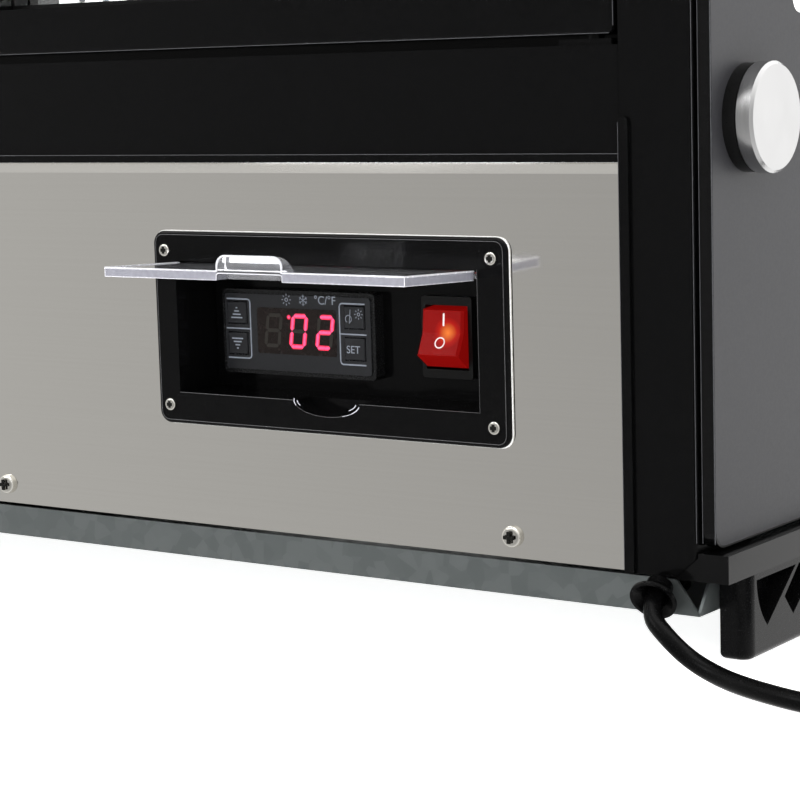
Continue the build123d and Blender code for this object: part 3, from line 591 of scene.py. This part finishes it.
ROCKER_TILT = 15.0
ROCKER_RIDGE = (-7.95, 0.0)     # Y and Z from the rocker's pin, with the rocker level
ROCKER_LIP = (-9.5, 8.9)


def rocker_slope(side):
    """Drawing plane on the rocker's upper or lower slope, its origin at the middle of the ridge."""
    turn = Matrix.Rotation(radians(-ROCKER_TILT), 3, "X")
    ridge = turn @ Vector((0, *ROCKER_RIDGE))
    lip = turn @ Vector((0, ROCKER_LIP[0], side * ROCKER_LIP[1]))
    lift = Vector((0, -0.05, 0))
    return facing((1, 0, 0), (lip - ridge) * side, pin_of("rocker_hinge") + ridge + lift)


def rocker_marks():
    """White line and ring on the two slopes of the rocker."""
    white = moulded("rocker_white", (0.74, 0.62, 0.60), 0.35)
    line = round_corners([(0.5, 2.9, 0.3), (1.3, 2.9, 0.3), (1.3, 7.9, 0.3), (0.5, 7.9, 0.3)], 3)
    settle("rocker_mark_on", [slab([line], rocker_slope(1), 0.08)], "rocker", white)
    ring = [circle(0.2, -3.9, 2.35), circle(0.2, -3.9, 1.85)]
    settle("rocker_mark_off", [slab(ring, rocker_slope(-1), 0.08)], "rocker", white)


def bezel_loop(reach, corner):
    """The control bezel's outline grown by reach, with the given corner radius."""
    low, high = span("control_bezel")
    left, right, bottom, top = low.x - reach, high.x + reach, low.z - reach, high.z + reach
    sides = ((left, bottom), (right, bottom), (right, top), (left, top))
    return round_corners([(*place, corner) for place in sides], 10)


OPENING_X = (104.1, 252.5)
OPENING_Z = (88.3, 142.8)
SCOOP = (179.7, 16.2, 6.0)          # middle in X, half width and depth


def scoop_arc(start, stop, shrink, y):
    """Points round the thumb scoop's rim, between two angles in degrees."""
    turns = [radians(start + (stop - start) * n / 8) for n in range(9)]
    return [(SCOOP[0] + (SCOOP[1] - shrink) * cos(a), y, OPENING_Z[0] + (SCOOP[2] - shrink) * sin(a))
            for a in turns]


def bezel_trim():
    """Painted highlight: a pale halo all round the control bezel. Grey painted highlight lines on the rounding of
    the bezel's own edge, along the opening's sill and right side and round the thumb scoop, and brighter painted
    highlights on the scoop's rim.
    """
    # pale halo round the bezel: a painted highlight where its rounded edge mirrors the light
    pale = moulded("bezel_halo_highlight", (0.80, 0.80, 0.79), 0.25)
    face = span("rear_fascia")[0].y - 0.02
    halo = slab([bezel_loop(0.24, 6.0), bezel_loop(-0.6, 4.8)], rearward(face), 0.5, edge=0.12)
    settle("bezel_halo_highlight", [halo], "cabinet", pale)
    front = span("control_bezel")[0].y
    edge = [(u, front + 0.02, v) for u, v in bezel_loop(-1.5, 4.2)]
    y = front + 0.05
    (left, right), (bottom, top) = OPENING_X, OPENING_Z
    sill = [(left, y, bottom), (SCOOP[0] - SCOOP[1], y, bottom)]
    jamb = [(SCOOP[0] + SCOOP[1], y, bottom), (right, y, bottom), (right, y, top)]
    lines = [bead(edge, 0.16, closed=True), bead(sill, 0.13), bead(jamb, 0.13)]
    lines.append(bead(scoop_arc(-8, -172, 0.0, y), 0.10))
    # grey rods: painted highlight lines on the bezel's rounded edge, the opening's edges and the scoop's rim
    grey = moulded("bezel_glint", (0.050, 0.050, 0.052), 0.25, specular=0.3)
    settle("bezel_glint", lines, "cabinet", grey)
    # bright rods: painted highlights round the thumb scoop's rim
    bright = new_material("scoop_glint", (0.72, 0.72, 0.80), 0.15, 0.6)
    grain(bright, 700.0, rough=(0.12, 0.2))
    arcs = ((-10, -40, 0.0, 0.24), (-40, -62, 0.0, 0.12), (-4, -40, 1.8, 0.20), (172, 200, 0.0, 0.22),
            (178, 206, 1.6, 0.18))
    glints = [bead(scoop_arc(start, stop, shrink, y), r) for start, stop, shrink, r in arcs]
    settle("scoop_glint", glints, "cabinet", bright, smooth=True)


FASCIA_SCREW_R = 4.2
BEZEL_SCREW_R = 2.6
BEZEL_SCREW_H = 1.4
BEZEL_SCREWS = (160.1, 64.1)        # their spacing across and up
RECESS = (1.05, 0.8)                # depth of the cross recess, and how much of it the dark fill of painted shade takes up


def screw_places():
    """X, Z, head radius and face depth of every panel screw."""
    low, high = span("panel_screws")
    z = low.z + FASCIA_SCREW_R
    places = [(x, z, FASCIA_SCREW_R, low.y) for x in (low.x + FASCIA_SCREW_R, 0.0, high.x - FASCIA_SCREW_R)]
    low, high = span("control_bezel")
    middle = (low + high) / 2
    across, up = BEZEL_SCREWS[0] / 2, BEZEL_SCREWS[1] / 2
    return places + [(middle.x + sx * across, middle.z + sz * up, BEZEL_SCREW_R, low.y - BEZEL_SCREW_H)
                     for sx in (-1, 1) for sz in (-1, 1)]


def screw_recesses():
    """Painted shade: a dark fill in the cross recesses of the panel screws."""
    # dark fill standing for the shade inside each cross recess
    shade = moulded("recess_shade", (0.006, 0.006, 0.005), 0.6, specular=0.1)
    crosses = []
    for x, z, r, y in screw_places():
        long, short = r * 0.55 - 0.02, 0.68
        arm = [(short, short), (short, long), (-short, long)]
        plus = [(u * cos(a) - v * sin(a), u * sin(a) + v * cos(a)) for a in (pi / 2 * n for n in range(4))
                for u, v in arm]
        crosses.append(slab([plus], rearward(y + RECESS[0], x, z), RECESS[1]))
    settle("screw_recesses", crosses, "cabinet", shade)


LID_TILT = 2.2
LID_HALF_T = 1.7
LID_REACH = 48.5                    # from the pins to the front edge
LID_PINS = (2.2, 4.2)               # how far the pins stand out of the left and right ends
LID_NOTCH = 3.2                     # from the pins to where the ends are whole
LID_BUMP = (162.0, 193.4, 5.9)      # the finger pull's two sides in X, and its rise
LID_HOLLOW = 2.7                    # height of the hollow under the finger pull
LID_HOLLOW_SIDE = 0.3               # how much wider the hollow is than the pull, at each side


def lid_place():
    """Matrix that tips drawings of the level lid about its pins, by as much as the open lid is tipped."""
    pin = Matrix.Translation(pin_of("lid_hinge") * MM)
    return pin @ Matrix.Rotation(radians(-LID_TILT), 4, "X") @ pin.inverted()


def lid_size():
    """Ends in X, depth of the front edge, depth of the hinge notch and height of the middle, level."""
    pin = pin_of("lid_hinge")
    low, high = span("control_lid")
    return low.x + LID_PINS[0], high.x - LID_PINS[1], pin.y - LID_REACH, pin.y - LID_NOTCH, pin.z


def lid_paths():
    """Upper and lower edges of the lid's front, in X and Z, going round its finger pull."""
    x0, x1, _, _, middle = lid_size()
    left, right, rise = LID_BUMP
    top, bottom = middle + LID_HALF_T, middle - LID_HALF_T
    crest, r = top + rise, 3.8
    quarter = [pi / 2 * n / 6 for n in range(7)]
    upper = [(x0, top), (left, top)]
    upper += [(left + r - r * cos(a), crest - r + r * sin(a)) for a in quarter]
    upper += [(right - r + r * sin(a), crest - r + r * cos(a)) for a in quarter]
    upper += [(right, top), (x1, top)]
    hollow, r = bottom + LID_HOLLOW, 1.2
    left, right = left - LID_HOLLOW_SIDE, right + LID_HOLLOW_SIDE
    lower = [(x0, bottom), (left, bottom)]
    lower += [(left + r - r * cos(a), hollow - r + r * sin(a)) for a in quarter]
    lower += [(right - r + r * sin(a), hollow - r + r * cos(a)) for a in quarter]
    lower += [(right, bottom), (x1, bottom)]
    return upper, lower


def lid_edges():
    """Sawn edges of the clear lid: frosted faces, and painted highlights along the arrises as brighter rods."""
    x0, x1, front, notch, _ = lid_size()
    tip = lid_place()
    upper, lower = lid_paths()
    left, right, _ = LID_BUMP
    frosted = new_material("lid_frost", (0.28, 0.28, 0.32), 0.5, Transmission_Weight=0.35, IOR=1.3)
    grain(frosted, 500.0, tint=((0.25, 0.25, 0.29), (0.31, 0.31, 0.355)), rough=(0.4, 0.6))
    z0, z1 = lower[0][1], upper[0][1]
    faces = [slab([[(a, z0), (b, z0), (b, z1), (a, z1)]], tip @ rearward(front), 0.04)
             for a, b in ((x0, left - LID_HOLLOW_SIDE), (right + LID_HOLLOW_SIDE, x1))]
    arrises = [bead([(x, front, z) for x, z in path], r) for path, r in ((upper, 0.42), (lower, 0.2))]
    for x, way in ((x0, -1), (x1, 1)):
        side = [(way * front, z0), (way * notch, z0), (way * notch, z1), (way * front, z1)]
        faces.append(slab([side], tip @ facing((0, way, 0), (0, 0, 1), (x, 0, 0)), 0.04))
        arrises += [bead([(x, front, z), (x, notch, z)], r) for z, r in ((z0, 0.15), (z1, 0.38))]
        arrises.append(bead([(x, front, z0), (x, front, z1)], 0.2))
    settle("lid_frost", faces, "lid", frosted)
    for mesh in arrises:
        mesh.transform(tip)
    # brighter rods along the lid's arrises: painted highlights
    edge = new_material("lid_edge", (0.62, 0.62, 0.66), 0.25, Transmission_Weight=0.2, IOR=1.4)
    grain(edge, 500.0, rough=(0.18, 0.32))
    settle("lid_arris", arrises, "lid", edge, smooth=True)


def fascia_edges():
    """Painted highlight lines along the top and the right edges of the stainless panel: thin rods of brighter
    steel.
    """
    low, high = span("rear_fascia")
    # brighter steel than the panel: a painted highlight along its edges
    bright_line = steel("painted_edge_highlight", (0.95, 0.94, 0.92), (0.2, 0.3), (400, 400, 400))
    inset = 0.15
    lines = [bead([(low.x, low.y, high.z - inset), (high.x, low.y, high.z - inset)], 0.3)]
    lines.append(bead([(high.x - inset, low.y, low.z), (high.x - inset, low.y, high.z)], 0.12))
    settle("fascia_edge", lines, "cabinet", bright_line)


def coat_glints():
    """Painted highlights: thin grey rods along the rounded corners of the black parts, where those corners would
    catch the light.
    """
    grey = moulded("coat_glint", (0.042, 0.043, 0.047), 0.3, specular=0.3)
    post_low, post_high = span("corner_post_right")
    glass_low, glass_high = span("side_glass_right")
    strip_low, strip_high = span("trim_strips")
    band_low, band_high = span("rear_band")
    bottom, top = 46.0, post_high.z - 2.0
    lines = []
    for side in (-1, 1):
        for x, y, r in ((post_high.x, post_low.y, 0.15), (glass_low.x, glass_low.y - 0.1, 0.16),
                        (glass_high.x, glass_low.y - 0.1, 0.2)):
            lines.append(bead([(side * x, y, bottom), (side * x, y, top)], r))
        x = side * (strip_high.x - 4.0)
        lines.append(bead([(x, strip_low.y, strip_low.z + 1), (x, strip_low.y, strip_high.z - 2)], 0.12))
    z = band_low.z + 2.8
    lines.append(bead([(band_low.x, band_low.y, z), (band_high.x, band_low.y, z)], 0.14))
    settle("coat_glint", lines, "cabinet", grey)
    # the same painted highlight rods along each door's bottom rail and outer stile
    for side, name in ((1, "right"), (-1, "left")):
        low, high = span("door_frame_" + name)
        y = low.y + 0.5
        outer = high.x if side > 0 else low.x
        path = [(low.x + 2, y, low.z + 0.4), (high.x - 2, y, low.z + 0.4)]
        stile = [(outer - side * 0.3, y, low.z + 3), (outer - side * 0.3, y, high.z - 3)]
        lines = [bead(path, 0.14), bead(stile, 0.2)]
        settle("door_glint_" + name, lines, "door_" + name, grey)


DOOR_RAIL = 19.2
DOOR_STILE = 8.0
BEAD_REACH = (1.0, 1.9)             # how far a glazing bead covers the glass, by stiles and by rails


def glazing_beads():
    """Rubber beads holding the doors' glass, standing a little over the rails."""
    rubber = moulded("glazing_bead", (0.004, 0.004, 0.004), 0.35, specular=0.15)
    for name in ("right", "left"):
        low, high = span("door_frame_" + name)
        loops = []
        for across, up in ((0.0, 0.0), BEAD_REACH):
            x0, x1 = low.x + DOOR_STILE + across, high.x - DOOR_STILE - across
            z0, z1 = low.z + DOOR_RAIL + up, high.z - DOOR_RAIL - up
            loops.append([(x0, z0), (x1, z0), (x1, z1), (x0, z1)])
        plane = rearward(span("door_glass_" + name)[0].y - 0.02)
        settle("glazing_bead_" + name, [slab(loops, plane, 1.2)], "door_" + name, rubber)


# ---- mains lead ---------------------------------------------------------------------------------
CORD_D = 7.0
GLAND_MOUTH = Vector((330.0, -239.5, 25.2))
GLAND_DIR = Vector((0.10, -0.85, -0.52)).normalized()
COIL_CENTRE = (448.0, -228.5)
ROUTE = [(330.6, -244.6, 22.1), (341.0, -249.0, 14.8), (350.5, -249.6, 8.0), (363.0, -252.5, 4.2),
         (379.0, -259.8, 3.5), (407.0, -269.2, 3.5)]
CELLS = [(41.6, 3.6), (34.2, 3.6), (34.2, 10.9), (34.2, 18.1), (41.6, 18.1), (41.6, 10.9)]
TURN_STEPS = 24
PLUG_ANGLE = 30.0
TAIL = 29.0


def coil_points():
    """Six turns laid beside and on each other; each steps to the next place a little earlier."""
    step = 360.0 / TURN_STEPS
    shift = 30.0
    start = -101.0
    total = PLUG_ANGLE + 5 * 360.0 - start
    points = []
    for n in range(int(total / step) + 1):
        run = n * step
        strand = min(int(run / (360.0 - shift)), len(CELLS) - 1)
        into = run - strand * (360.0 - shift)
        blend = 0.0
        if strand > 0:
            blend = max(0.0, 1.0 - into / shift)
        here, before = CELLS[strand], CELLS[max(strand - 1, 0)]
        r = here[0] * (1 - blend) + before[0] * blend
        z = here[1] * (1 - blend) + before[1] * blend
        angle = radians(start + run)
        points.append((COIL_CENTRE[0] + r * cos(angle), COIL_CENTRE[1] + r * sin(angle), z))
    return points


def tail_points():
    """From the coil's last turn into the plug's boot."""
    angle = radians(PLUG_ANGLE)
    r = CELLS[-1][0]
    away = Vector((-sin(angle), cos(angle), 0))
    place = Vector((COIL_CENTRE[0] + r * cos(angle), COIL_CENTRE[1] + r * sin(angle), 0))
    rise = ((8.0, 11.6), (16.0, 14.4), (24.0, 17.2), (TAIL + 5.0, 18.0))
    return [tuple(place + away * d + Vector((0, 0, z))) for d, z in rise]


def mains_cord(material):
    """The whole lead as one curve, from inside the gland to the plug's boot."""
    start = GLAND_MOUTH - GLAND_DIR * 6.5
    points = [tuple(start)] + ROUTE + coil_points() + tail_points()
    curve = bpy.data.curves.new("mains_cord", "CURVE")
    curve.dimensions = "3D"
    curve.bevel_depth = CORD_D / 2 * MM
    curve.bevel_resolution = 5
    curve.resolution_u = 6
    curve.use_fill_caps = True
    spline = curve.splines.new("NURBS")
    spline.points.add(len(points) - 1)
    for point, place in zip(spline.points, points):
        point.co = (*(Vector(place) * MM), 1)
    spline.order_u = 3
    spline.use_endpoint_u = True
    curve.materials.append(material)
    cord = bpy.data.objects.new("mains_cord", curve)
    bpy.context.scene.collection.objects.link(cord)
    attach(cord, "cabinet")
    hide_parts("mains_lead", "lead_coil")


# ---- studio ---------------------------------------------------------------------------------------
def studio_floor():
    """Pale floor running up into a round wall; shiny surfaces mirror the sky instead."""
    white = new_material("studio_white", (0.90, 0.90, 0.90), 0.9, Emission_Strength=0.80)
    white.node_tree.nodes["Principled BSDF"].inputs["Emission Color"].default_value = (1, 1, 1, 1)
    build = bmesh.new()
    rings = [(0.0, 0.0), (3.0, 0.0), (5.0, 0.0), (5.8, 0.25), (6.2, 0.9), (6.3, 2.0), (6.3, 4.5)]
    sides = 64
    rows = []
    for r, z in rings[1:]:
        rows.append([build.verts.new((r * cos(2 * pi * n / sides), r * sin(2 * pi * n / sides), z))
                     for n in range(sides)])
    build.faces.new(rows[0])
    for lower, upper in zip(rows, rows[1:]):
        for n in range(sides):
            build.faces.new((lower[n], lower[(n + 1) % sides], upper[(n + 1) % sides], upper[n]))
    data = bpy.data.meshes.new("studio")
    build.to_mesh(data)
    build.free()
    for polygon in data.polygons:
        polygon.use_smooth = len(polygon.vertices) == 4
    data.materials.append(white)
    floor = bpy.data.objects.new("studio", data)
    floor.visible_glossy = False
    bpy.context.scene.collection.objects.link(floor)


def sky():
    """Soft light all round: dimmer on the operator's side, brighter on the customer's and overhead."""
    world = bpy.data.worlds.new("sky")
    world.use_nodes = True
    bpy.context.scene.world = world
    nodes, links = world.node_tree.nodes, world.node_tree.links
    background = nodes["Background"]
    place = nodes.new("ShaderNodeTexCoord")
    split = nodes.new("ShaderNodeSeparateXYZ")
    across = nodes.new("ShaderNodeMapRange")
    across.inputs["From Min"].default_value = -1.0
    across.inputs["To Min"].default_value = 0.30
    across.inputs["To Max"].default_value = 1.42
    lift = nodes.new("ShaderNodeMapRange")
    lift.interpolation_type = "SMOOTHSTEP"
    lift.inputs["From Min"].default_value = 0.15
    lift.inputs["From Max"].default_value = 0.8
    lift.inputs["To Max"].default_value = 0.5
    total = nodes.new("ShaderNodeMath")
    links.new(place.outputs["Generated"], split.inputs["Vector"])
    links.new(split.outputs["Y"], across.inputs["Value"])
    links.new(split.outputs["Z"], lift.inputs["Value"])
    links.new(across.outputs["Result"], total.inputs[0])
    links.new(lift.outputs["Result"], total.inputs[1])
    links.new(total.outputs["Value"], background.inputs["Strength"])
    background.inputs["Color"].default_value = (1.0, 0.995, 0.985, 1)


def softbox(name, place, target, size, power):
    """Rectangular lamp at a place in metres, aimed at its target."""
    light = bpy.data.lights.new(name, "AREA")
    light.shape = "RECTANGLE"
    light.size, light.size_y = size
    light.energy = power
    lamp = bpy.data.objects.new(name, light)
    lamp.location = place
    lamp.rotation_euler = (Vector(target) - Vector(place)).to_track_quat("-Z", "Y").to_euler()
    lamp.visible_camera = False
    bpy.context.scene.collection.objects.link(lamp)


def camera():
    """Long lens on the operator's side, a little over the panel and well to its right."""
    yaw, pitch, roll = radians(35.37), radians(7.86), radians(1.64)
    forward = Vector((-sin(yaw) * cos(pitch), cos(yaw) * cos(pitch), -sin(pitch)))
    right = Vector((cos(yaw), sin(yaw), 0))
    down = forward.cross(right)
    across = right * cos(roll) + down * sin(roll)
    below = down * cos(roll) - right * sin(roll)
    turn = Matrix((across, -below, -forward)).transposed().to_4x4()
    data = bpy.data.cameras.new("camera")
    data.sensor_width = 36.0
    data.lens = 108.45
    data.clip_start = 0.02
    data.clip_end = 50.0
    eye = bpy.data.objects.new("camera", data)
    eye.matrix_world = Matrix.Translation(Vector((751.1, -987.0, 219.0)) * MM) @ turn
    bpy.context.scene.collection.objects.link(eye)
    bpy.context.scene.camera = eye


# ---- scene ------------------------------------------------------------------------------------------
def build():
    """Camera, materials, pieces, studio and lights, in that order."""
    camera()
    materials = slot_materials()
    dress_nodes(materials)
    mains_cord(materials["lead_pvc"])
    side_glass_print()
    face_y = span("controller_face")[0].y - 0.01
    ink = moulded("label_ink", INK, 0.4)
    display(face_y)
    controller_print(ink, face_y)
    key_prints(ink)
    rocker_marks()
    bezel_trim()
    screw_recesses()
    lid_edges()
    fascia_edges()
    glazing_beads()
    coat_glints()
    studio_floor()
    sky()
    softbox("overhead", (0.2, -0.3, 2.4), (0, 0, 0.3), (2.2, 1.6), 20)
    softbox("operator_left", (-2.0, -2.2, 1.9), (0, -0.2, 0.3), (1.2, 1.2), 14)
    low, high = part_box("lamp_diffuser")
    middle = (low + high) / 2
    below, target = (middle.x, middle.y, low.z - 0.004), (middle.x, middle.y + 0.03, 0)
    softbox("display_lamp", below, target, (0.5, 0.05), 9)
    bpy.context.scene.view_settings.view_transform = "Standard"


build()
